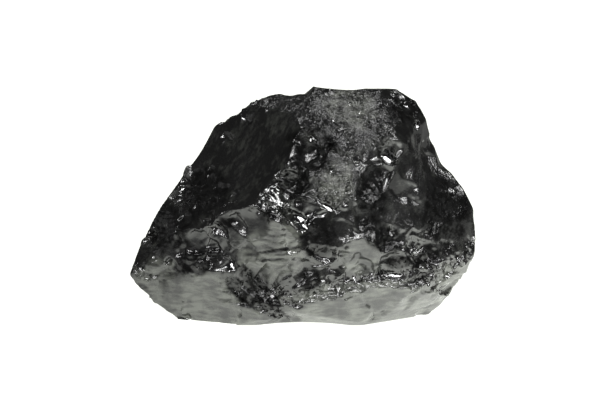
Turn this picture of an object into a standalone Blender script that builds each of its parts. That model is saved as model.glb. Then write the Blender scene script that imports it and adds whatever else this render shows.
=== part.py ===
"""A lump of hard, glossy coal (anthracite), lying on its flat underside.

The lump is worked as a stone is: a block is cleaved along flat faces, then shell-shaped flakes are
struck off it, and last its sharp edges are chipped. Frame: metres, +Z up, front towards -Y, origin
on the resting face, below the lump's heart.
"""
import math
import random

import bmesh
import bpy
from mathutils import Matrix, Vector

MM = 0.001
HEART = Vector((0, 0, 30))  # mm: the point inside the lump that the cleaved faces are measured from
BLOCK = 160  # mm: side of the rough block

# Cleaved faces: (azimuth, tilt, reach). Azimuth is the way the face looks, in degrees from the front
# (-Y) towards the right (+X). Tilt is how far it looks up. Reach is its distance from the heart, in mm.
CLEAVED = {
    "left_flank": (-48, 37, 26.4),
    "centre": (12, 41, 28.5),
    "right_flank": (42, 18, 33.1),
    "nose": (8, 7, 24),
    "under_brow": (-21, -7, 27.2),
    "left_cheek": (-18, 2, 26.4),
    "left_toe": (-15, -13, 27.5),
    "right_toe": (11, -22, 29.6),
    "right_heel": (26, -40, 35.6),
    "right_heel_high": (42, -10, 38.8),
    "left_tip_high": (-106, 6, 44),
    "back_left": (-115, 27, 35.2),
    "back_left_high": (-152, 44, 31.4),
    "crown": (150, 84, 36.6),
    "knob": (50, 42, 38),
    "right_high": (108, 27, 42),
    "right_mid": (100, -5, 49),
    "right_low": (98, -26, 49),
    "front_base": (0, -50, 32.8),
    "left_low": (-101, -38, 48.2),
    "left_base": (-91, -58, 44.5),
    "right_base": (105, -42, 46),
    "back": (166, 10, 29),
    "back_left_mid": (-158, 16, 30),
    "back_right_mid": (142, 4, 35),
    "back_low": (176, -36, 31),
    "back_low_left": (-146, -26, 33.5),
    "back_low_right": (138, -34, 37),
    "back_high": (-178, 53, 30.5),
    "back_high_right": (148, 38, 35),
    "underside": (0, -90, 30),
}

# Struck flakes: (x, y, z, azimuth, tilt, radius, stretch, turn). x, y, z is the deepest point of the
# hollow in mm, azimuth and tilt the way its bottom looks. The hollow is part of a ball of this radius
# in mm, stretched by this factor along a line that is turned this many degrees from level.
FLAKES = {
    "left_flank": (-28.5, 0, 43, -48, 37, 140, 1, 0),
    "left_flank_end": (-1, -15, 53, -50, 35, 90, 1, 0),
    "left_low": (-38.5, -9, 25.5, -60, 28, 50, 1, 0),
    "dark_hollow": (7, -17, 51, -60, 30, 7.5, 1.2, 70),
    "streaked_valley": (2, -21, 43, -40, 30, 9, 1.7, 58),
    "centre": (13.5, -8, 59.5, 12, 41, 90, 1, 0),
    "right_flank": (34.5, -11, 36.5, 46, 20, 60, 1, 0),
    "shoulder_chip": (32.5, -2.5, 56, 48, -12, 8, 1.2, -70),
    "recess": (17.5, -18, 40, 24, 26, 17, 1.4, 70),
    "ridge_face": (25, -17, 43, 60, 20, 14, 1.4, 70),
    "pillar": (10, -19, 43, -3, 8, 24, 1, 0),
    "shelf": (5, -22, 37, 0, 58, 8, 1.8, 4),
    "scoop": (-6.5, -23.5, 24.5, -14, -6, 26, 1.25, 20),
    "scoop_fold": (-14, -21, 22.5, -30, 2, 12, 2, -58),
    "under_brow": (-29, -15.5, 20.5, -32, 10, 18, 1.6, 10),
    "bright_oval": (-37.5, -12, 17.5, -30, -5, 6, 1.4, 80),
    "brow_face": (-17.5, -21, 30.5, -15, 9, 26, 1.2, 10),
    "low_flank": (37, -14.5, 24, 52, 15, 26, 1.3, -30),
    "heel_notch": (40.5, -9, 6, 60, -45, 7, 1, 0),
    "right_toe": (16.5, -20, 9, 11, -22, 60, 1.5, 5),
    "left_toe": (-32, -13, 7.5, -15, -13, 60, 1.4, 0),
    "glint_left": (-2, -23, 35.5, -12, 12, 8, 1, 0),
    "glint_right": (7.5, -21.5, 36, 12, 8, 6, 1.5, -20),
    "arch": (0, -17, 1.6, 0, -89, 60, 1, 0),
    "back_wide": (0, 26.5, 37, 160, 4, 70, 1.2, 20),
    "back_left_shell": (-11.5, 22.5, 41, -160, 24, 42, 1.2, -30),
    "back_right_shell": (21.5, 24, 40, 146, 14, 36, 1, 0),
    "back_high_shell": (7.5, 17, 53, -172, 46, 44, 1.3, 10),
    "back_low_shell": (18, 24, 16, -176, -30, 40, 1.4, -12),
    "back_low_right_shell": (18.5, 23.5, 12, 132, -26, 34, 1.2, 15),
    "left_shell": (-27.5, 12.5, 43.5, -122, 20, 34, 1.2, 40),
    "left_high_shell": (-10, 19, 50.5, -146, 50, 36, 1.2, 0),
    "right_side_shell": (45.5, 14, 29.5, 106, 2, 30, 1.2, 50),
    "shoulder": (32.5, -5.5, 49, 84, 12, 14, 1.2, 75),
    "mottled_hollow": (6.5, -22.5, 28, 2, 22, 28, 1.15, 60),
    "strip_hollow": (3, -24, 18, 4, 26, 10, 1.4, 16),
    "light_facet": (15, -22, 23, 13, -5, 24, 1.2, -24),
    "edge_facet": (25, -19.5, 20.5, 16, 2, 12, 1.3, 10),
    "slope": (25.5, -19, 26, 24, 25, 46, 1.2, -30),
    "slope_low": (32, -19, 19.5, 38, 22, 24, 1.3, -50),
    "hollow_corner": (8.5, -15, 53, -52, 36, 5.5, 1.2, 20),
    "centre_edge": (4.5, -8.5, 62, -16, 44, 26, 1.4, 80),
    "crown_right": (27, -1.5, 59.5, 50, 36, 30, 1.2, -60),
}

# Steps and grooves: (x, y, z, azimuth, tilt, spread, length, turn). Two flat faces meet along a
# straight line through x, y, z. The line is turned this many degrees from level and is this long in
# mm. Each face leans this many degrees away from the way the groove looks.
STEPS = {
    "back_step": (7.5, 22.5, 48, 166, 24, 50, 36, -9),
    "back_low_step": (3, 28.5, 23.5, 170, -8, 50, 40, 7),
    "left_step": (-29, 18, 36.5, -112, 16, 52, 22, 64),
    "right_step": (45, 16, 23.5, 104, 6, 52, 20, -68),
    "high_step": (-2.5, 12, 56.5, 176, 44, 52, 24, 12),
    "crown_notch": (0.5, 2, 64.3, -90, 65, 25, 40, 0),
    "shoulder_notch": (38.5, -2, 42.5, 78, 41, 24, 44, 0),
    "ledge": (17.5, -16.5, 48, 18, 2, 52, 16, 5),
    "crush": (-14.5, -19, 10.5, -10, 14, 44, 18, -18),
    "fold": (-11.5, -21, 16, -28, 0, 50, 17, -49),
    "cheek": (-33, -15, 24, -34, 0, 50, 15, 27),
    "streaks": (32.5, -17, 17.5, 44, 16, 44, 17, -51),
    "strip_left": (4.5, -22, 11.5, 5, 23, 37, 24, 10),
    "strip_right": (21, -20, 13.5, 14, 24, 37, 31, 1),
}

FACETS = ((5, 3), (26, 4), (80, 5), (math.inf, 6))  # mm, count: subdivisions of a ball below each radius
WEDGE_ENDS = 60  # degrees: how far a step's two end faces lean
WEDGE_OUT = 20  # mm: from a step's line to the middle of its block

CHIP_SEED = 11
CHIPS = 40
CHIP_RADIUS = (2.5, 6.5)  # mm
CHIP_BITE = (0.4, 1.1)  # mm: how deep a chip goes into its edge

COAL_COLOUR = (0.018, 0.018, 0.019, 1)
COAL_ROUGHNESS = 0.3
COAL_METALLIC = 0


def facing(azimuth, tilt):
    """Unit vector that looks along an azimuth and a tilt given in degrees."""
    turn, lift = math.radians(azimuth), math.radians(tilt)
    return Vector((math.sin(turn) * math.cos(lift), -math.cos(turn) * math.cos(lift), math.sin(lift)))


def spanning(look, turn):
    """Two directions square to the look: one turned this many degrees from level, and one across it."""
    level = Vector((0, 0, 1)).cross(look)
    if level.length < 1e-3:
        level = Vector((1, 0, 0))
    level.normalize()
    along = Matrix.Rotation(math.radians(turn), 3, look) @ level
    return along, look.cross(along)


def trim(mesh, spot, normal):
    """Cuts away what lies beyond the plane through a spot, and closes the cut."""
    whole = mesh.verts[:] + mesh.edges[:] + mesh.faces[:]
    cut = bmesh.ops.bisect_plane(
        mesh, geom=whole, dist=1e-7, plane_co=spot, plane_no=normal, clear_outer=True
    )
    rim = [item for item in cut["geom_cut"] if isinstance(item, bmesh.types.BMEdge)]
    bmesh.ops.contextual_create(mesh, geom=rim)


def link(name, mesh, collection):
    data = bpy.data.meshes.new(name)
    mesh.to_mesh(data)
    mesh.free()
    made = bpy.data.objects.new(name, data)
    collection.objects.link(made)
    return made


def ball(mesh, deepest, look, radius, stretch, turn, facets):
    """Adds a stretched ball that touches the deepest point and lies on the side that it looks to."""
    along, across = spanning(look, turn)
    axes = Matrix((along * stretch, across, look)).transposed().to_4x4()
    place = Matrix.Translation((deepest + look * radius) * MM) @ axes
    bmesh.ops.create_icosphere(mesh, subdivisions=facets, radius=radius * MM, matrix=place)


def wedge(mesh, deepest, look, spread, length, turn):
    """Shapes a block into a wedge whose sharp edge is the line that the two faces meet along."""
    along, across = spanning(look, turn)
    lean = math.radians(spread)
    end = math.radians(WEDGE_ENDS)
    faces = [(deepest, look * math.cos(lean) + side * across * math.sin(lean)) for side in (1, -1)]
    for side in (1, -1):
        tip = deepest + along * side * length / 2
        faces.append((tip, look * math.cos(end) - side * along * math.sin(end)))
    middle = Matrix.Translation((deepest + look * WEDGE_OUT) * MM)
    bmesh.ops.create_cube(mesh, size=2 * length * MM, matrix=middle)
    for spot, normal in faces:
        trim(mesh, spot * MM, -normal)
    bmesh.ops.recalc_face_normals(mesh, faces=mesh.faces[:])


def cut_with(lump, cutter):
    cutter.hide_render = True
    cutter.display_type = "WIRE"
    cut = lump.modifiers.new(cutter.name, "BOOLEAN")
    cut.operation = "DIFFERENCE"
    cut.solver = "EXACT"
    cut.object = cutter
    return cut


def edge_chips(block, rng):
    """Small balls set along the block's sharp edges, each biting a little into its edge."""
    sharp = [edge for edge in block.edges if edge.calc_face_angle(0) > math.radians(15)]
    sharp = [edge for edge in sharp if min(vert.co.z for vert in edge.verts) > 1 * MM]
    lengths = [edge.calc_length() for edge in sharp]
    chips = bmesh.new()
    for edge in rng.choices(sharp, weights=lengths, k=CHIPS):
        first, second = edge.verts
        spot = first.co.lerp(second.co, rng.random()) / MM
        look = (edge.link_faces[0].normal + edge.link_faces[1].normal).normalized()
        radius = rng.uniform(*CHIP_RADIUS)
        deepest = spot - look * rng.uniform(*CHIP_BITE)
        ball(chips, deepest, look, radius, rng.uniform(1, 2), rng.uniform(0, 180), 3)
    return chips


def coal_material():
    coal = bpy.data.materials.new("coal")
    coal.use_nodes = True
    shader = coal.node_tree.nodes["Principled BSDF"]
    shader.inputs["Base Color"].default_value = COAL_COLOUR
    shader.inputs["Roughness"].default_value = COAL_ROUGHNESS
    shader.inputs["Metallic"].default_value = COAL_METALLIC
    return coal


def make_lump():
    scene = bpy.context.scene.collection
    parts = bpy.data.collections.new("coal_lump")
    cutters = bpy.data.collections.new("cutters")
    scene.children.link(parts)
    scene.children.link(cutters)
    block = bmesh.new()
    bmesh.ops.create_cube(block, size=BLOCK * MM)
    for azimuth, tilt, reach in CLEAVED.values():
        look = facing(azimuth, tilt)
        trim(block, (HEART + look * reach) * MM, look)
    bmesh.ops.recalc_face_normals(block, faces=block.faces[:])
    chips = edge_chips(block, random.Random(CHIP_SEED))
    lump = link("coal_lump", block, parts)
    lump.data.materials.append(coal_material())
    for name, (x, y, z, azimuth, tilt, radius, stretch, turn) in FLAKES.items():
        flake = bmesh.new()
        facets = next(count for limit, count in FACETS if radius < limit)
        ball(flake, Vector((x, y, z)), facing(azimuth, tilt), radius, stretch, turn, facets)
        cut_with(lump, link("flake_" + name, flake, cutters))
    for name, (x, y, z, azimuth, tilt, spread, length, turn) in STEPS.items():
        step = bmesh.new()
        wedge(step, Vector((x, y, z)), facing(azimuth, tilt), spread, length, turn)
        cut_with(lump, link("step_" + name, step, cutters))
    cut_with(lump, link("edge_chips", chips, cutters)).use_self = True


for old in list(bpy.data.objects):
    bpy.data.objects.remove(old, do_unlink=True)
make_lump()
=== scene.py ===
"""Dresses a lump of hard, glossy coal (anthracite) that lies on a pale floor in soft studio light.

The lump starts as a copy of the solid. Shell-shaped flakes are struck off it, its sharp edges are
nicked, and fine marks are worked into its faces: ripples, scattered chips and crushed seams. Then
its finishes are laid on by place: grain, fibre, crumbs, grey film that is also painted sheen on the
pale faces, painted shade in the hollows and creases, and polish. Lengths are in millimetres up to
the finished mesh, and angles in degrees. The front is towards -Y.
"""
import math
import random

import bpy
import numpy as np
from mathutils import Matrix, Vector, noise


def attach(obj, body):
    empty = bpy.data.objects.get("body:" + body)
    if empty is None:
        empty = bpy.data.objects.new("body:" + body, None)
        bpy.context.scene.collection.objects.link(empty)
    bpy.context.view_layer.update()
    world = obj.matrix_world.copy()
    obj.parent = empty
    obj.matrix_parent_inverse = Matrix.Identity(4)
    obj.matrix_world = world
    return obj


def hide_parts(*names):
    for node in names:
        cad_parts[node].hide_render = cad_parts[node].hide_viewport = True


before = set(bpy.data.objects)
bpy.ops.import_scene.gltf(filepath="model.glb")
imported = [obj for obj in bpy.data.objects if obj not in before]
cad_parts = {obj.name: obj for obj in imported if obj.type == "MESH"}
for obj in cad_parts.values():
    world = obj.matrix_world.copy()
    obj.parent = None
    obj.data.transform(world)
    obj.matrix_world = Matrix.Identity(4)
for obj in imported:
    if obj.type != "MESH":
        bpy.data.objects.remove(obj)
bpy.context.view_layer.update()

bl_info = {
    "name": "Coal lump",
    "version": (1, 0, 0),
    "blender": (4, 5, 0),
    "location": "View3D > Sidebar > Coal",
    "description": "Dresses a broken lump of glossy coal and sets it on a pale floor",
    "category": "Object",
}

MM = 0.001

# The camera: where the front of the lump is seen from. Every place on the front is given below as
# (across, up) in mm, as the camera sees it on the sheet through SIGHT that faces it. A look is an
# azimuth, from 0 at the front to 90 at the right, and a tilt, up from level.
SIGHT = Vector((0.9, -5, 33.4))  # mm: the point that it looks at
SIGHT_DISTANCE = 488.6  # mm
SIGHT_LIFT = 15  # degrees
LENS = 100  # mm
FILM = 36  # mm

# Flakes struck off the front: (across, up, azimuth, tilt, width, bite, stretch, turn, steep). The bite
# is how deep the middle goes. The stretch is how many times longer than wide the flake is, along a
# line turned this far from level. A steep of 2 is a round bowl, and a higher one has a flatter floor.
FLAKES = {
    "crown_lip": (16.4, 65, 15, 66, 3.4, 0.5, 4, -3, 2),
    "crown_lip_left": (4.3, 66.5, -10, 62, 4, 0.7, 2.2, 25, 2),
    "left_shell": (-16.3, 51.2, -50, 34, 26.4, 0.5, 1.1, 20, 2),
    "flank_chip": (-34.7, 38.3, -30, -4, 5.7, 1.3, 1.3, 40, 2),
    "flank_chip_two": (-36.8, 37.4, -40, 0, 3.4, 0.9, 1.3, 50, 2),
    "low_chip": (-44.8, 25.6, -35, -6, 4.3, 1.1, 1.5, -60, 2),
    "crescent": (-28.7, 30.8, -50, 42, 9.8, 0.4, 1.2, 0, 2),
    "rim_dab": (-17.2, 58.4, -30, 6, 3.2, 0.7, 1.4, -10, 2),
    "rim_dab_two": (-22.7, 53.8, -35, 2, 2.6, 0.6, 2, -15, 2),
    "rim_dab_three": (-10, 63, 10, 10, 2, 0.6, 2, 75, 2),
    "valley": (1.2, 40, -45, 26, 5.7, 0.6, 2, 60, 2),
    "pillar": (10.1, 40, 6, 36, 10.3, 0.8, 1.3, 85, 3),
    "recess": (19.9, 37.4, 25, 22, 9.2, 0.7, 1.4, 65, 3),
    "ledge_big": (22.7, 46.6, -8, 52, 7.2, 1.8, 1.1, 20, 2),
    "ledge_mid": (15.6, 45.8, 5, 55, 3.7, 1.1, 1.1, 0, 2),
    "ledge_small": (11.5, 48.3, 0, 58, 2.6, 0.8, 1, 0, 2),
    "shoulder_chip": (34, 54.7, 50, -8, 5.2, 1, 1.2, -70, 2),
    "pillar_foot": (5.5, 33.7, -5, 0, 8, 0.7, 1.5, 8, 3),
    "brow_face": (-18.1, 25.9, -15, 7, 10.3, 0.6, 1.3, 10, 4),
    "brow_left": (-33.6, 21.6, -22, 4, 6.3, 0.5, 1.8, 25, 4),
    "cheek": (-28.1, 17.6, -12, 11, 9.8, 0.7, 1.2, 0, 3),
    "bright_oval": (-38.5, 15.9, -20, -8, 4, 0.7, 1.3, 90, 3),
    "streak_face": (33.1, 16.7, 38, 24, 8.6, 0.7, 1.3, -60, 3),
    "grey_face": (37.1, 21.3, 40, 9, 7.5, 0.6, 1.1, -30, 3),
    "groove_one": (10.7, 16.7, 20, 30, 1.4, 0.6, 7, -26, 2),
    "groove_two": (9.8, 15, 20, -15, 1.4, 0.5, 6, -24, 2),
    "v_groove": (-11.7, 10.1, 30, 20, 1.7, 0.7, 7, -50, 2),
    "v_groove_two": (-14.6, 9.3, -30, -5, 1.7, 0.6, 6, -52, 2),
    "sliver": (-20.9, 15.3, -40, -8, 2.3, 0.6, 3, -60, 2),
    "crush_bowl": (-15.8, 8.1, 20, 30, 7.5, 1.2, 1.8, -25, 2),
    "hollow": (5.5, 48.3, -60, 34, 7.5, 1.4, 1.3, 72, 3),
    "under_nose": (5.5, 23.1, 4, 16, 9.8, 0.7, 1.3, 75, 2),
    "dark_patch": (2, 11.3, 6, 22, 9.8, 1.8, 1.4, 16, 4),
    "scoop_top": (-7.7, 20.8, -14, -8, 17.8, 1.2, 1.1, 12, 3),
    "scoop_foot": (-5.4, 11.6, -2, -8, 8.6, 0.9, 1.6, -60, 3),
    "light_facet": (15.8, 18.2, 14, -7, 10.9, 0.5, 1.15, -30, 4),
    "slope_top": (19.9, 27.7, 18, 21, 8.6, 0.6, 1.2, -30, 3),
    "slope_mid": (25.6, 23.1, 25, 25, 8, 0.7, 1.3, -40, 3),
    "edge_facet": (26.5, 16.2, 14, 4, 6.9, 0.8, 1.1, 0, 4),
    "cleft": (5.5, 17.9, 24, 30, 2.9, 1.2, 2.6, -34, 2),
    "brow_cleft": (-22.4, 23.1, -40, 24, 2.6, 1.2, 3, -52, 2),
    "brow_cleft_two": (-25.3, 24.2, -8, 20, 2, 0.9, 3, -30, 2),
    "brow_cleft_three": (-23.5, 26.2, -30, -12, 2, 0.8, 2.6, -46, 2),
    "brow_blade": (-26.1, 21.3, -24, -10, 3.4, 0.9, 2, -20, 3),
    "flank_foot": (33.7, 27.1, 38, 22, 11.5, 0.5, 1.3, -30, 3),
    "strip_dark": (11.2, 12.7, 12, 16, 8, 1.4, 2, 8, 4),
    "strip_dark_right": (24.5, 12.4, 18, 18, 4.6, 1, 3, 2, 4),
    "toe_chip": (-35, -0.5, -20, 20, 4, 1.2, 1.5, -8, 3),
    "heel_cut": (43.1, 7.8, 70, -35, 6.3, 2.4, 2.2, 0, 4),
}

# Rounded swellings: (across, up, azimuth, tilt, width, height).
SWELLINGS = {
    "knob": (31.4, 60.4, 50, 40, 15, 1.8),
    "right_shoulder": (41, 39, 60, 20, 12, 0.6),
}


def facing(azimuth, tilt):
    """Unit vector that looks along an azimuth and a tilt given in degrees."""
    turn, lift = math.radians(azimuth), math.radians(tilt)
    return Vector((math.sin(turn) * math.cos(lift), -math.cos(turn) * math.cos(lift), math.sin(lift)))


def spanning(look, turn):
    """Two directions square to the look: one turned this many degrees from level, and one across it."""
    level = Vector((0, 0, 1)).cross(look)
    if level.length < 1e-3:
        level = Vector((1, 0, 0))
    level.normalize()
    along = Matrix.Rotation(math.radians(turn), 3, look) @ level
    return along, look.cross(along)


def select_only(piece):
    """Selects one piece and makes it active."""
    bpy.ops.object.select_all(action="DESELECT")
    piece.select_set(True)
    bpy.context.view_layer.objects.active = piece


def rough_copy(settings):
    """A copy of the solid with its loose triangles merged, and its surface cut into fine, even faces."""
    select_only(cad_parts["coal_lump"])
    bpy.ops.object.duplicate()
    lump = bpy.context.active_object
    lump.name = "broken_lump"
    lump.data.name = "broken_lump"
    lump.data.materials.clear()
    bpy.ops.object.mode_set(mode="EDIT")
    bpy.ops.mesh.select_all(action="SELECT")
    bpy.ops.mesh.remove_doubles(threshold=1e-6)
    bpy.ops.object.mode_set(mode="OBJECT")
    lump.data.remesh_voxel_size = settings.fine_size
    bpy.ops.object.voxel_remesh()
    return lump


SOFTENING = 0.7  # how much of the way to its neighbours' middle a point goes in one round
WANDER = 0.3  # how far an outline wanders in and out, as a share of its size
WANDER_SIZE = 0.4  # how long its waves are, as a share of the width
NEARBY = 0.75  # how far out points are looked at, as a share of the length
BOWL_RIM = 1.35  # how far out a flake still cuts, in half widths
RIPPLE_CENTRE = 1.3  # how far out the ripples' centre lies, in half lengths


class Surface:
    """The lump's points in mm, with what is worked out from how they are joined."""

    def __init__(self, mesh):
        self.mesh = mesh
        self.points = np.empty(len(mesh.vertices) * 3, np.float32)
        mesh.vertices.foreach_get("co", self.points)
        self.points = self.points.reshape(-1, 3).astype(float) / MM
        ends = np.empty(len(mesh.edges) * 2, np.int32)
        mesh.edges.foreach_get("vertices", ends)
        self.ends = ends.reshape(-1, 2)
        self.joined = np.bincount(self.ends.ravel(), minlength=len(self.points))

    def store(self):
        """Puts the points back into the mesh."""
        self.mesh.vertices.foreach_set("co", (self.points * MM).astype(np.float32).ravel())
        self.mesh.update()

    def normals(self):
        """Which way the surface faces at each point."""
        self.store()
        found = np.empty(len(self.points) * 3, np.float32)
        self.mesh.vertex_normals.foreach_get("vector", found)
        return found.reshape(-1, 3).astype(float)

    def spread(self, values, weights):
        """Each point's sum of its neighbours' values, each by the weight of the edge between them."""
        first, second = self.ends.T
        total = np.zeros_like(values)
        for axis in range(values.shape[1]):
            total[:, axis] = np.bincount(first, weights * values[second, axis], len(values))
            total[:, axis] += np.bincount(second, weights * values[first, axis], len(values))
        return total

    def soften(self, rounds, crease):
        """Smooths the faces and leaves the ridges, where the surface turns by more than the crease."""
        first, second = self.ends.T
        for _ in range(rounds):
            normals = self.normals()
            bend = 1 - np.einsum("ij,ij->i", normals[first], normals[second])
            weights = np.exp(-bend / (1 - math.cos(crease)))
            share = self.spread(np.ones((len(self.points), 1)), weights)
            self.points += SOFTENING * (self.spread(self.points, weights) / share - self.points)

    def sharpness(self):
        """How far each point stands out of the points around it, from 0 on a flat face up."""
        normals = self.normals()
        level = self.points
        for _ in range(3):
            level = self.spread(level, np.ones(len(self.ends))) / self.joined[:, None]
        return np.einsum("ij,ij->i", self.points - level, normals)

    def around(self, spot, look, width, stretch, turn):
        """Points near a spot: how high they are over it, and where in an oval this wide they lie."""
        along, across = spanning(look, turn)
        away = self.points - np.array(spot)
        near = np.flatnonzero(np.einsum("ij,ij->i", away, away) < (width * stretch * NEARBY) ** 2)
        away = away[near]
        a = away @ np.array(along) / (width / 2 * stretch)
        c = away @ np.array(across) / (width / 2)
        wander = np.array([noise.noise(Vector(p) / (width * WANDER_SIZE)) for p in self.points[near]])
        return near, away @ np.array(look), a, c, wander

    def strike(self, spot, look, width, bite, stretch, turn, steep):
        """Takes a flake off: what lies above a bowl this wide and deep is pushed down to it."""
        near, height, a, c, wander = self.around(spot, look, width, stretch, turn)
        reach = np.hypot(a, c) * (1 + WANDER * wander)
        floor = bite * (reach**steep - 1)
        cut = (height > floor) & (reach < BOWL_RIM)
        self.points[near[cut]] += np.outer(floor[cut] - height[cut], look)

    def ripple(self, spot, look, width, stretch, turn, gap, depth):
        """Works curved waves into the face around a spot, centred on a point beyond its edge."""
        near, height, a, c, wander = self.around(spot, look, width, stretch, turn)
        level = self.normals()[near] @ np.array(look)
        shown = np.clip((1 + WANDER * wander - np.hypot(a, c)) * 3, 0, 1) * np.clip(level * 4 - 2, 0, 1)
        away = np.hypot((a + RIPPLE_CENTRE) * stretch, c) * width / 2 + wander * gap * 0.8
        wave = 1 - np.abs(np.sin(math.pi * away / gap))
        self.points[near] -= np.outer(shown * depth * wave, look)

    def hold(self, before, deepest):
        """Lets no point be further from where it was before than this."""
        moved = self.points - before
        length = np.linalg.norm(moved, axis=1)
        self.points = before + moved * (np.minimum(length, deepest) / np.maximum(length, 1e-6))[:, None]


def as_seen(points):
    """Points as the camera sees them: mm across and up on the sheet through SIGHT, and how far away."""
    look = -facing(0, SIGHT_LIFT)
    up = Vector((1, 0, 0)).cross(look)
    away = points - np.array(SIGHT - look * SIGHT_DISTANCE)
    depth = away @ np.array(look)
    scale = SIGHT_DISTANCE / depth
    return np.stack((SIGHT.x + away[:, 0] * scale, SIGHT.z + away @ np.array(up) * scale, depth), axis=1)


PLACE_SIZE = 0.7  # mm: how near to a place a point has to show


def shown_at(seen, across, up):
    """Which point of the lump shows at this place on the front, or None where none does."""
    near = np.flatnonzero(np.hypot(seen[:, 0] - across, seen[:, 1] - up) < PLACE_SIZE)
    return near[np.argmin(seen[near, 2])] if len(near) else None


def swell(surface, swelling):
    """Raises a rounded swelling on the front."""
    across, up, azimuth, tilt, width, height = swelling
    spot = surface.points[shown_at(as_seen(surface.points), across, up)]
    away = np.linalg.norm(surface.points - spot, axis=1) / (width / 2)
    surface.points += np.outer(height * np.exp(-(away**2)), facing(azimuth, tilt))


def strike_all(surface, flakes):
    """Strikes each flake of a table off the front."""
    for across, up, azimuth, tilt, *shape in flakes.values():
        spot = shown_at(as_seen(surface.points), across, up)
        surface.strike(Vector(surface.points[spot]), facing(azimuth, tilt), *shape)


def ripple_all(surface):
    """Works each rippled place into the front."""
    for across, up, azimuth, tilt, *shape in RIPPLES.values():
        spot = shown_at(as_seen(surface.points), across, up)
        surface.ripple(Vector(surface.points[spot]), facing(azimuth, tilt), *shape)


# Rippled places on the front: (across, up, azimuth, tilt, width, stretch, turn, gap, depth). The turn
# is the way that the ripples spread, and the gap is from one to the next.
RIPPLES = {
    "left_low": (-38.8, 30, -55, 33, 25.9, 1.1, -75, 1.35, 0.14),
    "left_mid": (-22.4, 41.7, -50, 34, 23, 1.2, -60, 1.7, 0.05),
    "scoop_ribs": (-7.1, 19.6, -8, -2, 13.2, 1.3, -80, 2, 0.16),
    "foot_stripes": (5.5, 33.7, -5, 10, 8.6, 1.4, -90, 1.3, 0.15),
    "groove_field": (10.7, 16.7, 14, 4, 9.8, 1.3, 60, 1.4, 0.08),
    "streak_field": (32.5, 17.9, 34, 14, 13.2, 1.3, 30, 1.3, 0.14),
    "brow_folds": (-26.1, 22.5, -20, 8, 11.5, 1.2, -60, 2, 0.2),
    "recess_lines": (19.9, 36, 24, 24, 11.5, 1.3, 20, 1.8, 0.12),
    "valley_lines": (1.8, 40, -45, 26, 6.9, 1.5, -30, 1.2, 0.15),
}

# Small chips struck last, each turned to catch a light: the same figures as the flakes.
CHIPS = {
    "hook_arm": (-5.1, 32.5, -16, 27, 2.9, 1.6, 1.8, 80, 8),
    "hook_top": (-1.4, 30, 3, 33, 3.4, 1.6, 2.2, -18, 8),
    "hook_low": (-0.8, 27.7, -10, 30, 3.4, 1.6, 2.2, -25, 8),
    "right_hook": (6.9, 32, 3, 33, 2.9, 1, 3, -33, 3),
    "hollow_glint": (2.6, 51.8, -12, 28, 2, 0.6, 1.2, 0, 6),
    "ledge_glint": (23.9, 47.2, 3, 33, 3.4, 1.2, 1.7, -50, 6),
    "flank_glint": (42.9, 38, 20, 28, 1.7, 0.6, 1.4, -60, 6),
    "side_glint": (26.2, 24.8, 20, 28, 1.6, 0.6, 2.6, -70, 6),
    "streak_glint": (33.1, 20.8, 20, 28, 1.6, 0.6, 2.6, -60, 6),
    "streak_glint_two": (34.8, 15, 20, 28, 1.6, 0.6, 2.6, -60, 6),
    "streak_glint_three": (36.8, 10.1, 3, 33, 1.6, 0.6, 2, -60, 6),
    "edge_glint": (26.5, 13, 3, 33, 2, 0.6, 4.6, -2, 6),
    "heel_glint": (41.7, 13.3, 20, 28, 1.9, 0.6, 1.4, 0, 6),
    "ridge_line": (23.9, 39.7, 20, 28, 1.4, 0.9, 5, 62, 6),
    "sliver_glint": (-20.7, 15.6, -16, 27, 1.7, 0.5, 3, -60, 6),
    "oval_glint": (-38.5, 15.9, -16, 27, 1.7, 0.5, 1.6, 80, 6),
    "chip_glint": (-34.7, 38.3, -16, 27, 1.7, 0.5, 1.6, 30, 6),
    "low_chip_glint": (-44.8, 26.2, -16, 27, 1.7, 0.5, 1.6, -60, 6),
    "notch_glint": (33.7, 55.2, 3, 33, 1.7, 0.5, 2, -70, 6),
    "knob_glint": (29.9, 61.9, 20, 28, 1.1, 0.3, 4, -20, 6),
    "ledge_glint_two": (15.8, 45.5, 3, 33, 1.7, 0.8, 1.6, 20, 3),
    "streak_a": (8.9, 57.3, 3, 33, 0.7, 0.4, 6, -28, 4),
    "streak_b": (11.2, 55, 3, 33, 0.7, 0.4, 5, -30, 4),
    "streak_c": (23.9, 55.5, 20, 28, 0.7, 0.4, 7, -62, 4),
    "streak_d": (22.2, 52.4, 3, 33, 0.6, 0.4, 6, -55, 4),
    "streak_e": (13.5, 62.1, 3, 33, 0.6, 0.4, 5, -50, 4),
    "streak_f": (16.4, 59.6, 3, 33, 0.6, 0.4, 5, -40, 4),
    "streak_g": (18.7, 57, 3, 33, 0.6, 0.4, 4, -60, 4),
    "pillar_a": (8.1, 42.6, 3, 33, 0.7, 0.4, 3, 60, 4),
    "pillar_b": (12.4, 40.9, 3, 33, 0.6, 0.4, 4, 70, 4),
    "pillar_c": (9.5, 36.6, 3, 33, 0.7, 0.4, 4, -10, 4),
    "pillar_d": (6.1, 38, -16, 27, 0.7, 0.4, 3, 70, 4),
}

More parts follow.
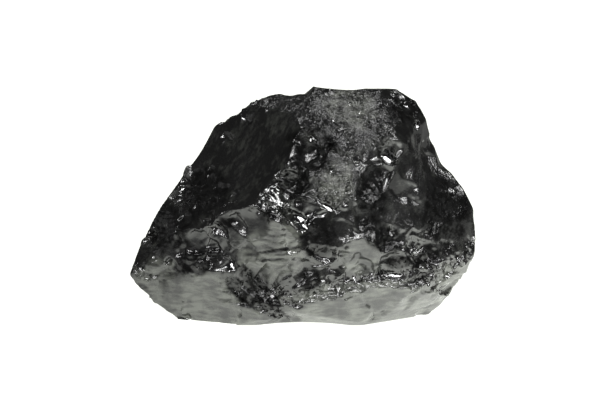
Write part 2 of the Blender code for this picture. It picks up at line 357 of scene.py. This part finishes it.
# Parts of the front that small flakes are scattered over:
# (across, up, width, height, count, flake's width, bite).
ZONES = {
    "middle": (5.5, 25.4, 21.3, 14.4, 80, 2, 0.14),
    "low_middle": (7.8, 14.4, 25.9, 11.5, 40, 2.2, 0.16),
    "right_low": (31.4, 17.3, 20.7, 13.2, 34, 2.4, 0.15),
    "right_flank": (33.7, 43.2, 14.4, 14.4, 8, 4, 0.1),
    "centre": (13.5, 57.5, 24.1, 17.2, 26, 3, 0.06),
    "pillar": (10.1, 40.3, 11.5, 12.6, 60, 1.6, 0.1),
    "crown": (7.8, 65, 66.1, 4.6, 70, 2.4, 0.18),
    "brow": (-28.1, 21.3, 28.7, 14.9, 40, 2.6, 0.16),
    "valley": (0.3, 38.6, 7.5, 7.5, 24, 1.6, 0.12),
    "left_rim": (-34.7, 35.7, 11.5, 43.1, 4, 2.2, 0.12),
    "left_toe": (-29.6, 5.8, 40.2, 14.4, 8, 7, 0.04),
    "right_toe": (17.9, 4.9, 43.1, 8.6, 4, 6, 0.04),
    "heel": (42.9, 10.4, 11.5, 17.2, 16, 3, 0.12),
}

# Crushed seams on the front: (from across, up, to across, up, half width, count of crumbs, crumb's
# width, bite, wobble). The wobble is how far the crumbs lean every way.
SEAMS = {
    "strip_left": (-5.4, 6.1, 12.1, 10.1, 2, 90, 1.4, 0.3, 0.78),
    "strip_right": (12.1, 11, 35.1, 13.3, 1.7, 90, 1.4, 0.26, 0.78),
    "v_crush": (-21.5, 10.4, -7.7, 4.7, 2.9, 190, 1.4, 0.42, 0.9),
    "brow_end": (-13.5, 32.8, -5.4, 31.7, 2, 34, 1.3, 0.23, 0.78),
    "ridge_top": (-0.8, 63.9, 1.2, 57, 1.4, 30, 1.3, 0.2, 0.65),
    "rim_left": (-24.4, 57.5, -11.7, 64.2, 1.4, 40, 1.6, 0.26, 0.65),
    "rim_mid": (-11.7, 63.9, 0, 63, 1.7, 50, 1.5, 0.26, 0.65),
    "pillar_edge": (5.2, 43.2, 5.2, 35.4, 1.1, 30, 1.2, 0.23, 0.78),
    "right_rim": (45.7, 16.7, 49.2, 23.1, 1.1, 20, 1.3, 0.24, 0.78),
    "heel_rim": (39.4, 14.4, 46.6, 17.3, 1.4, 30, 1.4, 0.26, 0.65),
    "left_tip": (-49.1, 15, -43.4, 12.4, 1.4, 40, 1.4, 0.26, 0.78),
    "diagonal": (31.7, 21.3, 38.6, 9.8, 1.7, 60, 1.4, 0.26, 0.78),
    "valley_edge": (-11.2, 35.1, -3.1, 45.5, 1, 22, 1.2, 0.25, 0.8),
    "knob_rim": (27.3, 62.7, 33.1, 61, 1.1, 40, 1.2, 0.24, 0.8),
}

CRUMB_LIFT = 0.9  # how far the crumbs of a crushed seam look up
SCATTER_LEAN = 0.25  # how far scattered flakes lean away from the face they are struck off
NICK_LEAN = 0.35  # the same for the nicks in the edges
SHELL_LEAN = 0.12  # the same for the broad shells
NICK_CLEAR = 1.2  # mm: the edges this near the floor are left whole
SHELL_WIDTHS = (5, 16)  # mm: the narrowest and the widest broad shell
SHELL_BITES = (0.03, 0.06)  # the shallowest and the deepest, as shares of the width


def leant(look, spread, rng, lift=0):
    """A direction that leans away from the look at random, and up by the lift."""
    aside = Vector([rng.gauss(0, spread) for _ in range(3)]) + Vector((0, 0, lift))
    return (Vector(look) + aside).normalized()


def crush(surface, seam, rng):
    """Breaks a seam into crumbs: small flakes struck every way."""
    start, end, half = Vector(seam[0:2]), Vector(seam[2:4]), seam[4]
    count, crumb, depth, wobble = seam[5:]
    line = end - start
    side = line.orthogonal().normalized()
    seen, normals = as_seen(surface.points), surface.normals()
    for _ in range(count):
        place = start.lerp(end, rng.random()) + side * rng.gauss(0, half / 2)
        spot = shown_at(seen, place.x, place.y)
        if spot is None:
            continue
        look = leant(normals[spot], wobble, rng, CRUMB_LIFT)
        width, bite = crumb * rng.uniform(0.6, 1.6), depth * rng.uniform(0.5, 1.5)
        stretch, turn = rng.uniform(1, 2), rng.uniform(0, 180)
        surface.strike(Vector(surface.points[spot]), look, width, bite, stretch, turn, 4)


def scatter(surface, zone, rng):
    """Strikes small flakes off an oval part of the front."""
    across, up, width, height, count, size, bite = zone
    seen, normals = as_seen(surface.points), surface.normals()
    for _ in range(count):
        turn, out = rng.uniform(0, math.tau), math.sqrt(rng.random())
        x, y = across + out * math.cos(turn) * width / 2, up + out * math.sin(turn) * height / 2
        spot = shown_at(seen, x, y)
        if spot is None:
            continue
        look, scale = leant(normals[spot], SCATTER_LEAN, rng), rng.uniform(0.5, 1.8)
        stretch, turn, steep = rng.uniform(1, 2.4), rng.uniform(0, 180), rng.choice((2, 2, 3))
        surface.strike(Vector(surface.points[spot]), look, size * scale, bite * scale, stretch, turn, steep)


def nick(surface, count, width, bite, rng):
    """Nicks the sharp edges with small flakes."""
    sharp = surface.sharpness()
    sharp[surface.points[:, 2] < NICK_CLEAR] = 0
    sharp = np.clip(sharp - 0.1, 0, 0.35)
    normals = surface.normals()
    spots = rng.choices(range(len(sharp)), weights=sharp, k=count)
    for spot in spots:
        look, size = leant(normals[spot], NICK_LEAN, rng), rng.uniform(0.4, 1.6)
        stretch, turn = rng.uniform(1, 2.2), rng.uniform(0, 180)
        surface.strike(Vector(surface.points[spot]), look, width * size, bite * size, stretch, turn, 2)


def batter(surface, count, rng):
    """Strikes broad rippled flakes off the sides that the named flakes leave bare."""
    normals = surface.normals()
    bare = np.flatnonzero((normals[:, 1] > -0.15) & (normals[:, 2] > -0.8))
    for _ in range(count):
        picked = rng.choice(bare)
        look = leant(normals[picked], SHELL_LEAN, rng)
        spot, width = Vector(surface.points[picked]), rng.uniform(*SHELL_WIDTHS)
        stretch, turn = rng.uniform(1, 1.8), rng.uniform(0, 360)
        bite, steep = width * rng.uniform(*SHELL_BITES), rng.choice((2, 2, 3))
        surface.strike(spot, look, width, bite, stretch, turn, steep)
        if rng.random() < 0.5:
            surface.ripple(spot, look, width, stretch, turn, rng.uniform(1, 2), rng.uniform(0.05, 0.12))


# Finishes on the front: (kind, across, up, width, height, turn). Grain is small broken facets, fibre
# is fine threads, and film is grey dust that is also painted sheen on the faces that look pale. The
# kind laid on hollows and creases is painted shade: it dims them, and stray glints, so that they
# hardly shine. The crumb finish follows the crushed seams, and the polish follows the small chips.
PATCHES = {
    "centre": ("grain", 13.5, 57.5, 27.6, 19, 0),
    "centre_left": ("grain", 4.3, 59, 9.8, 14.4, 0),
    "pillar": ("grain", 10.1, 40, 13.2, 14.9, 0),
    "crown_band": ("grain", -3.7, 62.4, 23, 4.6, -3),
    "right_flank": ("fibre", 39.4, 34.5, 25.9, 40.2, -30),
    "recess": ("fibre", 19.9, 36, 12.6, 17.2, 0),
    "slope": ("fibre", 23.6, 25.4, 14.4, 11.5, -30),
    # Grey dust film, which is also painted sheen that lightens these pale faces.
    "left_toe": ("film_and_sheen", -32.4, 5.8, 40.2, 20.1, -12),
    "right_toe": ("film_and_sheen", 16.4, 5.2, 48.9, 11.5, 4),
    "scoop": ("film_and_sheen", -8.9, 18.7, 20.1, 16.1, 20),
    "light_facet": ("film_and_sheen", 15.6, 18.5, 13.2, 9.8, -30),
    "heel": ("film_and_sheen", 43.7, 11.6, 11.5, 10.3, 0),
    # Painted shade: these patches, and the last two rows, dim hollows, creases and stray glints.
    "hollow_painted_shade": ("painted_shade", 2, 48.9, 14.9, 14.4, -20),
    "recess_painted_shade": ("painted_shade", 19.9, 36.6, 9.8, 15.5, 10),
    "slope_painted_shade": ("painted_shade", 22.2, 24.2, 17.2, 8, -35),
    "slope_low_painted_shade": ("painted_shade", 35.1, 16.7, 6.3, 12.6, -25),
    "middle_painted_shade": ("painted_shade", 4.3, 23.6, 10.3, 12.6, -15),
    "strip_painted_shade": ("painted_shade", 1.8, 11.8, 6.9, 7.5, -20),
    "blob_painted_shade": ("painted_shade", -10, 30, 4.6, 3.4, 0),
    "brow_painted_shade": ("painted_shade", -30.1, 16.7, 14.4, 7.5, 20),
    "v_painted_shade": ("painted_shade", -15.2, 7.5, 17.2, 6.3, -28),
    "knob_painted_shade": ("painted_shade", 29.4, 60.4, 11.5, 7.5, 20),
    "flank_painted_shade": ("painted_shade", 40.8, 31.7, 14.4, 20.1, 0),
    "valley_painted_shade": ("painted_shade", -2, 38.6, 9.8, 10.3, -30),
    "grey_facet_painted_shade": ("painted_shade", 27.1, 16.7, 6.9, 4.6, 0),
    "left_low_painted_shade": ("painted_shade", -39.6, 26.5, 16.1, 12.6, -40),
    "v_groove_painted_shade": ("painted_shade", -11.7, 9.8, 16.7, 2.3, -48),
    "v_groove_two_painted_shade": ("painted_shade", -16.1, 11.8, 13.2, 2, -52),
    "toe_line_painted_shade": ("painted_shade", -7.7, 3.2, 10.3, 1.4, -32),
    "toe_chip_painted_shade": ("painted_shade", -35, -0.2, 5.7, 2.3, -15),
    "tip_painted_shade": ("painted_shade", -45.9, 9.5, 2.6, 1.4, -10),
    "tip_two_painted_shade": ("painted_shade", -40.2, 11.3, 2.6, 1.4, 0),
    "rib_painted_shade": ("painted_shade", -6.6, 20.2, 12.6, 1.1, 8),
    "rib_two_painted_shade": ("painted_shade", -9.4, 17.3, 7.5, 0.7, 6),
    "hollow_core_painted_shade": ("painted_shade", 6.4, 48.9, 7.5, 9.8, -10),
    # Grey dust film, which is also painted sheen that lightens these faces.
    "pillar_film_and_sheen": ("film_and_sheen", 9.8, 40, 10.3, 13.2, 0),
    "centre_film_and_sheen": ("film_and_sheen", 13.5, 61, 17.2, 10.3, -20),
    "rim_painted_shade": ("painted_shade", -27.8, 36.8, 12.6, 16.1, -30),
    "brow_tip": ("painted_shade", -21.8, 28.2, 5.2, 4, 0),
}
# The film kind is partly painted sheen, and the kind for hollows is painted shade.
KINDS = ("grain", "fibre", "crumb", "film_and_sheen", "painted_shade", "polish")


PATCH_WAVES = 3  # mm: how long the waves are in the outline of a patch
BROAD_WAVES = 14  # mm: how long they are in the finishes of the sides and the back


def paint_patches(surface):
    """Keeps how strongly each kind of finish shows at each point, as an attribute of that name."""
    seen = as_seen(surface.points)
    facing_front = np.clip(0.3 - surface.normals()[:, 1] * 3, 0, 1)
    weights = {kind: np.zeros(len(seen)) for kind in KINDS}
    wander = np.array([noise.noise(Vector(p) / PATCH_WAVES) for p in surface.points])
    for kind, across, up, width, height, turn in PATCHES.values():
        angle = math.radians(turn)
        x, y = seen[:, 0] - across, seen[:, 1] - up
        a = (x * math.cos(angle) + y * math.sin(angle)) / (width / 2)
        b = (y * math.cos(angle) - x * math.sin(angle)) / (height / 2)
        shown = np.clip((1.1 + 0.3 * wander - np.hypot(a, b)) * 4, 0, 1) * facing_front
        weights[kind] = np.maximum(weights[kind], shown)
    for seam in SEAMS.values():
        start, line, half = np.array(seam[0:2]), np.subtract(seam[2:4], seam[0:2]), seam[4]
        share = np.clip(((seen[:, :2] - start) @ line) / (line @ line), 0, 1)
        away = np.linalg.norm(seen[:, :2] - start - share[:, None] * line, axis=1)
        shown = np.clip((1.3 + 0.4 * wander - away / half) * 3, 0, 1) * facing_front
        weights["crumb"] = np.maximum(weights["crumb"], shown)
    for across, up, _, _, width, *_ in CHIPS.values():
        away = np.hypot(seen[:, 0] - across, seen[:, 1] - up) / width
        weights["polish"] = np.maximum(weights["polish"], np.clip((1 - away) * 4, 0, 1) * facing_front)
    # Polish clears the grain, the crumbs and the painted shade, and the painted shade clears the grey film
    # and its painted sheen.
    for kind in ("grain", "crumb", "painted_shade"):
        weights[kind] *= 1 - weights["polish"]
    weights["film_and_sheen"] *= 1 - weights["painted_shade"]
    broad = np.array([noise.noise(Vector(p) / BROAD_WAVES) for p in surface.points])
    behind = {
        "grain": np.clip(broad * 6 - 0.6, 0, 0.8),
        "film_and_sheen": np.clip(-broad * 6 - 0.6, 0, 0.7),
        "fibre": np.clip(1 - abs(broad) * 8, 0, 1),
    }
    for kind, shown in behind.items():
        weights[kind] = np.maximum(weights[kind], shown * (1 - facing_front))
    for kind, weight in weights.items():
        attribute = surface.mesh.attributes.new(kind, "FLOAT", "POINT")
        attribute.data.foreach_set("value", weight.astype(np.float32))


class CoalLump(bpy.types.PropertyGroup):
    """Sizes and colours of the lump."""

    fine_size: bpy.props.FloatProperty(
        name="Fine size", description="Size of the faces that the surface is worked in", default=0.0003,
        unit="LENGTH",
    )
    colour: bpy.props.FloatVectorProperty(
        name="Coal", description="Colour of clean coal", subtype="COLOR", size=3,
        default=(0.004, 0.004, 0.0039),
    )
    # The film's grey is also painted sheen on the pale faces of the front.
    film_and_sheen_colour: bpy.props.FloatVectorProperty(
        name="Film", description="Colour of the dull grey film", subtype="COLOR", size=3,
        default=(0.11, 0.115, 0.1),
    )
    seed: bpy.props.IntProperty(
        name="Seed", description="Picks another set of nicks and crumbs", default=3,
    )
    triangles: bpy.props.IntProperty(
        name="Triangles", description="Most triangles in the finished lump", default=195000,
    )


class CoalStage(bpy.types.PropertyGroup):
    """The floor, the lights and the camera."""

    floor_glow: bpy.props.FloatProperty(
        name="Floor glow", description="How brightly the floor shines to the right of the lump",
        default=2.35,
    )
    left_glow: bpy.props.FloatProperty(
        name="Left glow", description="How brightly the floor shines to the left of the lump",
        default=0.69,
    )


class Finish:
    """Builds a material's nodes."""

    def __init__(self, name):
        self.material = bpy.data.materials.new(name)
        self.material.use_nodes = True
        self.nodes, self.links = self.material.node_tree.nodes, self.material.node_tree.links
        self.shader = self.nodes["Principled BSDF"]
        self.place = self.nodes.new("ShaderNodeTexCoord").outputs["Object"]

    def node(self, kind, inputs, **settings):
        """Adds a node, with each input set to a value or linked to another node's output."""
        made = self.nodes.new("ShaderNode" + kind)
        for name, value in settings.items():
            setattr(made, name, value)
        for name, value in inputs.items():
            if isinstance(value, bpy.types.NodeSocket):
                self.links.new(value, made.inputs[name])
            else:
                made.inputs[name].default_value = value
        return made

    def noise(self, scale, detail, stretch=(1, 1, 1), turn=(0, 0, 0)):
        """A noise whose bumps are about 1 / scale metres across."""
        place = self.node("Mapping", {"Vector": self.place, "Scale": stretch, "Rotation": turn})
        inputs = {"Vector": place.outputs["Vector"], "Scale": scale, "Detail": detail}
        return self.node("TexNoise", inputs).outputs["Fac"]

    def patch(self, kind):
        """How strongly a kind of finish shows, as paint_patches left it."""
        return self.node("Attribute", {}, attribute_name=kind).outputs["Fac"]

    def sum(self, first, second, operation="ADD"):
        return self.node("Math", {0: first, 1: second}, operation=operation).outputs["Value"]

    def product(self, first, second):
        return self.sum(first, second, "MULTIPLY")

    def span(self, value, low, high, new_low, new_high):
        """Stretches the part of a value from low to high over the new range, and holds it there."""
        inputs = {"Value": value, "From Min": low, "From Max": high, "To Min": new_low, "To Max": new_high}
        return self.node("MapRange", inputs).outputs["Result"]

    def facets(self, scale, lean, below):
        """Breaks the face into flat crumbs about 1 / scale metres across that each face their own way."""
        inputs = {"Vector": self.place, "Scale": scale}
        cell = self.node("TexVoronoi", inputs, feature="F1").outputs["Color"]
        middle = (0.5, 0.5, 0.5)
        aside = self.node("VectorMath", {0: cell, 1: middle}, operation="SUBTRACT").outputs["Vector"]
        leant = self.node("VectorMath", {0: aside, "Scale": lean}, operation="SCALE").outputs["Vector"]
        turned = self.node("VectorMath", {0: below, 1: leant}, operation="ADD").outputs["Vector"]
        return self.node("VectorMath", {0: turned}, operation="NORMALIZE").outputs["Vector"]

    def bump(self, height, distance, strength, below=None):
        """Bumps this high in metres, on top of those below."""
        inputs = {"Height": height, "Distance": distance, "Strength": strength}
        if below:
            inputs["Normal"] = below
        return self.node("Bump", inputs).outputs["Normal"]


COAL_BEND = 1.95  # how strongly hard coal bends light
CLEAN_SHINE = 0.5
PAINTED_SHADE_SHINE = 0.05  # how much the hollows under painted shade shine
POLISHED_BUMPS = 0.35  # how much of the bumps the smoothest chips have
THIN_DUST = 0.2  # how much dust the streaks on clean coal have
LEAST_ROUGH = 0.04
FINE_GRAIN, COARSE_GRAIN, CRUMBS = 2300, 900, 1000  # facets in a metre


def coal(settings):
    """Hard black coal: glossy and bumpy, with grey dust that is partly painted sheen, painted shade and
    broken facets laid on by place.
    """
    finish = Finish("broken_coal")
    shader = finish.shader
    shader.inputs["IOR"].default_value = COAL_BEND
    grain, fibre, crumb, film_and_sheen, painted_shade, polish = (finish.patch(kind) for kind in KINDS)
    level = finish.span(polish, 0, 1, 1, POLISHED_BUMPS)

    # Painted shade: the shine drops, in mottled patches, where the hollows and creases are to look dark.
    mottle = finish.span(finish.noise(520, 4), 0.44, 0.58, 0.45, 1)
    shine = finish.span(finish.product(painted_shade, mottle), 0, 1, CLEAN_SHINE, PAINTED_SHADE_SHINE)
    finish.links.new(shine, shader.inputs["Specular IOR Level"])

    # The film is cloudy grey dust, and on the pale faces it is also painted sheen. Clean coal has thin
    # leaning streaks of dust, none under the painted shade.
    clean, dull = (*settings.colour, 1), (*settings.film_and_sheen_colour, 1)
    cloud = finish.product(finish.noise(150, 10), finish.noise(900, 6, (0.3, 0.3, 1), (0, 0.15, 0)))
    dust_and_sheen = finish.product(film_and_sheen, finish.span(cloud, 0.17, 0.34, 0, 1))
    leaning = (0, 0.5, 0)
    wide, narrow = finish.noise(240, 6, (1, 1, 0.4), leaning), finish.noise(900, 4, (1, 1, 0.3), leaning)
    streaks = finish.span(finish.product(wide, narrow), 0.24, 0.42, 0, THIN_DUST)
    thin_dust = finish.product(streaks, finish.span(painted_shade, 0, 1, 1, 0))
    dust_and_sheen = finish.sum(dust_and_sheen, thin_dust)
    mix = finish.node("Mix", {"Factor": dust_and_sheen, "A": clean, "B": dull}, data_type="RGBA")
    finish.links.new(mix.outputs["Result"], shader.inputs["Base Color"])

    # Grain and the film with its painted sheen are a little rougher, and the chips are smoother.
    rough = finish.span(finish.noise(90, 6), 0.3, 0.7, 0.1, 0.25)
    rough = finish.sum(rough, finish.product(grain, 0.12))
    rough = finish.sum(rough, finish.product(film_and_sheen, 0.05))
    finish.links.new(finish.sum(finish.product(rough, level), LEAST_ROUGH), shader.inputs["Roughness"])

    # Bumps from fine to broad, and on them the facets that glitter.
    fine = finish.bump(finish.noise(1500, 5), 0.0002, finish.product(level, 0.3))
    grains = finish.product(finish.noise(1900, 3), grain)
    fine = finish.bump(grains, 0.0006, 1, fine)
    threads = finish.product(finish.noise(1600, 5, (1, 1, 0.14), (0, 0.1, 0)), fibre)
    fine = finish.bump(threads, 0.0005, 0.5, fine)
    broad = finish.bump(finish.noise(260, 4), 0.0006, finish.product(level, 0.5), fine)
    glitter = finish.span(finish.noise(330, 5, (1, 1, 0.5), (0, -0.6, 0)), 0.45, 0.6, 0.5, 2.6)
    broken = finish.facets(FINE_GRAIN, finish.product(grain, glitter), broad)
    broken = finish.facets(COARSE_GRAIN, finish.product(grain, 0.35), broken)
    broken = finish.facets(CRUMBS, finish.product(crumb, 0.9), broken)
    finish.links.new(broken, shader.inputs["Normal"])
    return finish.material


CLEAR_STEPS = (12, math.radians(14))  # rounds and crease that clear the steps between the fine faces
SETTLE = (1, math.radians(20))  # the same, once a round of flakes has been struck
SHELLS = 90  # broad flakes on the sides and the back
NICKS = ((80, 4, 0.45), (320, 2.2, 0.28))  # of the edges: (count, width, bite)
SHELLS_DEPTH, CHIPS_DEPTH, CRUMBS_DEPTH = 1.0, 0.9, 0.7  # mm: the most that each round takes off
FLOOR_GAP = 0.01  # mm: the least height of a point over the floor
RIDGE = math.radians(35)  # edges that turn by more than this stay sharp in the light


class OBJECT_OT_coal_lump(bpy.types.Operator):
    """Dresses the lump of coal"""

    bl_idname = "object.coal_lump"
    bl_label = "Coal lump"

    def execute(self, context):
        settings = context.scene.coal_lump
        lump = rough_copy(settings)
        surface = Surface(lump.data)
        surface.soften(*CLEAR_STEPS)
        for swelling in SWELLINGS.values():
            swell(surface, swelling)
        strike_all(surface, FLAKES)
        rng = random.Random(settings.seed)
        before = surface.points.copy()
        batter(surface, SHELLS, rng)
        surface.hold(before, SHELLS_DEPTH)
        before = surface.points.copy()
        for zone in ZONES.values():
            scatter(surface, zone, rng)
        for count, width, bite in NICKS:
            nick(surface, count, width, bite, rng)
        surface.hold(before, CHIPS_DEPTH)
        surface.soften(*SETTLE)
        ripple_all(surface)
        before = surface.points.copy()
        for seam in SEAMS.values():
            crush(surface, seam, rng)
        surface.hold(before, CRUMBS_DEPTH)
        surface.soften(*SETTLE)
        strike_all(surface, CHIPS)
        surface.points[:, 2] = np.maximum(surface.points[:, 2], FLOOR_GAP)
        paint_patches(surface)
        surface.store()
        select_only(lump)
        thin = lump.modifiers.new("thin", "DECIMATE")
        thin.ratio = settings.triangles / (2 * len(lump.data.polygons))
        bpy.ops.object.modifier_apply(modifier=thin.name)
        bpy.ops.object.shade_smooth_by_angle(angle=RIDGE)
        lump.data.materials.append(coal(settings))
        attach(lump, "root")
        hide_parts("coal_lump")
        return {"FINISHED"}


class OBJECT_OT_coal_stage(bpy.types.Operator):
    """Sets the floor, the lights and the camera"""

    bl_idname = "object.coal_stage"
    bl_label = "Coal stage"

    def execute(self, context):
        settings = context.scene.coal_stage
        make_floor(settings)
        make_world()
        make_lights()
        make_camera()
        return {"FINISHED"}


FLOOR_RADIUS = 2.5  # m
FLOOR_GREY = (0.2, 0.2, 0.2, 1)
FLOOR_SHINE = (0.975, 1, 0.93, 1)  # the colour of the light that the floor gives
FLOOR_SEEN = 1.2  # how bright it is to look at
GLOW_SIDES = 0.06  # m: how far to either side the shine on the lump changes from left to right
GLOW_NEAR, GLOW_FAR = 0.075, 0.115  # m: the shine is full this near the middle, and weak from there on
GLOW_REST = 0.1  # how much of it is left beyond


def make_floor(settings):
    """A pale floor that lights the faces which lean under."""
    bpy.ops.object.select_all(action="DESELECT")
    bpy.ops.mesh.primitive_circle_add(vertices=96, radius=FLOOR_RADIUS, fill_type="NGON")
    floor = bpy.context.active_object
    floor.name = "floor"
    finish = Finish("floor")
    finish.shader.inputs["Base Color"].default_value = FLOOR_GREY
    finish.shader.inputs["Roughness"].default_value = 0.9
    finish.shader.inputs["Specular IOR Level"].default_value = 0
    finish.shader.inputs["Emission Color"].default_value = FLOOR_SHINE
    across = finish.node("SeparateXYZ", {"Vector": finish.place}).outputs["X"]
    sides = finish.span(across, -GLOW_SIDES, GLOW_SIDES, settings.left_glow, settings.floor_glow)
    away = finish.node("VectorMath", {0: finish.place}, operation="LENGTH").outputs["Value"]
    shine = finish.product(sides, finish.span(away, GLOW_NEAR, GLOW_FAR, 1, GLOW_REST))
    seen = finish.node("LightPath", {}).outputs["Is Camera Ray"]
    strength = finish.node("Mix", {"Factor": seen, "A": shine, "B": FLOOR_SEEN})
    finish.links.new(strength.outputs["Result"], finish.shader.inputs["Emission Strength"])
    floor.data.materials.append(finish.material)


# How bright the studio's walls are, from the floor at 0 to overhead at 1: (height, grey)
WALLS = ((0, 0.3), (0.1, 0.22), (0.16, 0.1), (0.25, 0.06), (0.5, 0.045), (1, 0.05))
WALLS_FROM, WALLS_TO = -0.1, 0.9  # the heights of a look that those run between
BACKDROP = 1.1  # how bright the backdrop is to look at


def make_world():
    """A pale backdrop, and dim walls that the coal mirrors."""
    world = bpy.data.worlds.new("studio")
    bpy.context.scene.world = world
    world.use_nodes = True
    nodes, links = world.node_tree.nodes, world.node_tree.links
    backdrop = nodes["Background"]
    aim = nodes.new("ShaderNodeTexCoord").outputs["Generated"]
    split = nodes.new("ShaderNodeSeparateXYZ")
    links.new(aim, split.inputs["Vector"])
    height = nodes.new("ShaderNodeMapRange")
    height.inputs["From Min"].default_value = WALLS_FROM
    height.inputs["From Max"].default_value = WALLS_TO
    links.new(split.outputs["Z"], height.inputs["Value"])
    ramp = nodes.new("ShaderNodeValToRGB")
    ramp.color_ramp.interpolation = "EASE"
    while len(ramp.color_ramp.elements) < len(WALLS):
        ramp.color_ramp.elements.new(0.5)
    for stop, (spot, level) in zip(ramp.color_ramp.elements, WALLS):
        stop.position, stop.color = spot, (level, level, level, 1)
    links.new(height.outputs["Result"], ramp.inputs["Fac"])
    links.new(ramp.outputs["Color"], backdrop.inputs["Color"])
    pale = nodes.new("ShaderNodeBackground")
    pale.inputs["Color"].default_value = (1, 1, 1, 1)
    pale.inputs["Strength"].default_value = BACKDROP
    path = nodes.new("ShaderNodeLightPath")
    mix = nodes.new("ShaderNodeMixShader")
    links.new(path.outputs["Is Camera Ray"], mix.inputs["Fac"])
    links.new(backdrop.outputs["Background"], mix.inputs[1])
    links.new(pale.outputs["Background"], mix.inputs[2])
    links.new(mix.outputs["Shader"], nodes["World Output"].inputs["Surface"])


# Area lights that face SIGHT: (name, azimuth, tilt, distance, width, height, power), in degrees, metres
# and watts. The keys make the glints, and the others are dim and broad.
LIGHTS = (
    ("sky_panel", 30, 64, 0.8, 0.5, 0.4, 1.4),
    ("left_fill", -95, 13, 0.9, 0.5, 0.22, 0.12),
    ("key", 8, 50, 0.9, 0.26, 0.16, 4),
    ("left_key", -35, 36, 0.9, 0.2, 0.13, 2.6),
    ("right_key", 46, 38, 0.9, 0.2, 0.13, 2.6),
)


def make_lights():
    """Hangs the lights."""
    for name, azimuth, tilt, distance, width, height, power in LIGHTS:
        look = facing(azimuth, tilt)
        place = SIGHT * MM + look * distance
        bpy.ops.object.light_add(type="AREA", location=place)
        light = bpy.context.active_object
        light.name = name
        light.data.shape = "RECTANGLE"
        light.data.size = width
        light.data.size_y = height
        light.data.energy = power
        light.rotation_euler = look.to_track_quat("Z", "Y").to_euler()


def make_camera():
    """Sets the camera in front, a little above the lump."""
    look = facing(0, SIGHT_LIFT)
    bpy.ops.object.camera_add(location=(SIGHT + look * SIGHT_DISTANCE) * MM)
    camera = bpy.context.active_object
    camera.rotation_euler = look.to_track_quat("Z", "Y").to_euler()
    camera.data.lens = LENS
    camera.data.sensor_width = FILM
    camera.data.clip_start = 0.01
    bpy.context.scene.camera = camera
    bpy.context.scene.view_settings.view_transform = "Standard"


class VIEW3D_PT_coal(bpy.types.Panel):
    """Lists the sizes, the colours and the two operators."""

    bl_label = "Coal lump"
    bl_idname = "VIEW3D_PT_coal"
    bl_space_type = "VIEW_3D"
    bl_region_type = "UI"
    bl_category = "Coal"

    def draw(self, context):
        for group in (context.scene.coal_lump, context.scene.coal_stage):
            for name in group.__annotations__:
                self.layout.prop(group, name)
        self.layout.operator("object.coal_lump")
        self.layout.operator("object.coal_stage")


CLASSES = (CoalLump, CoalStage, OBJECT_OT_coal_lump, OBJECT_OT_coal_stage, VIEW3D_PT_coal)


def register():
    for made in CLASSES:
        bpy.utils.register_class(made)
    bpy.types.Scene.coal_lump = bpy.props.PointerProperty(type=CoalLump)
    bpy.types.Scene.coal_stage = bpy.props.PointerProperty(type=CoalStage)


def unregister():
    del bpy.types.Scene.coal_lump, bpy.types.Scene.coal_stage
    for made in reversed(CLASSES):
        bpy.utils.unregister_class(made)


def main():
    register()
    bpy.ops.object.coal_lump()
    bpy.ops.object.coal_stage()


if __name__ == "__main__":
    main()
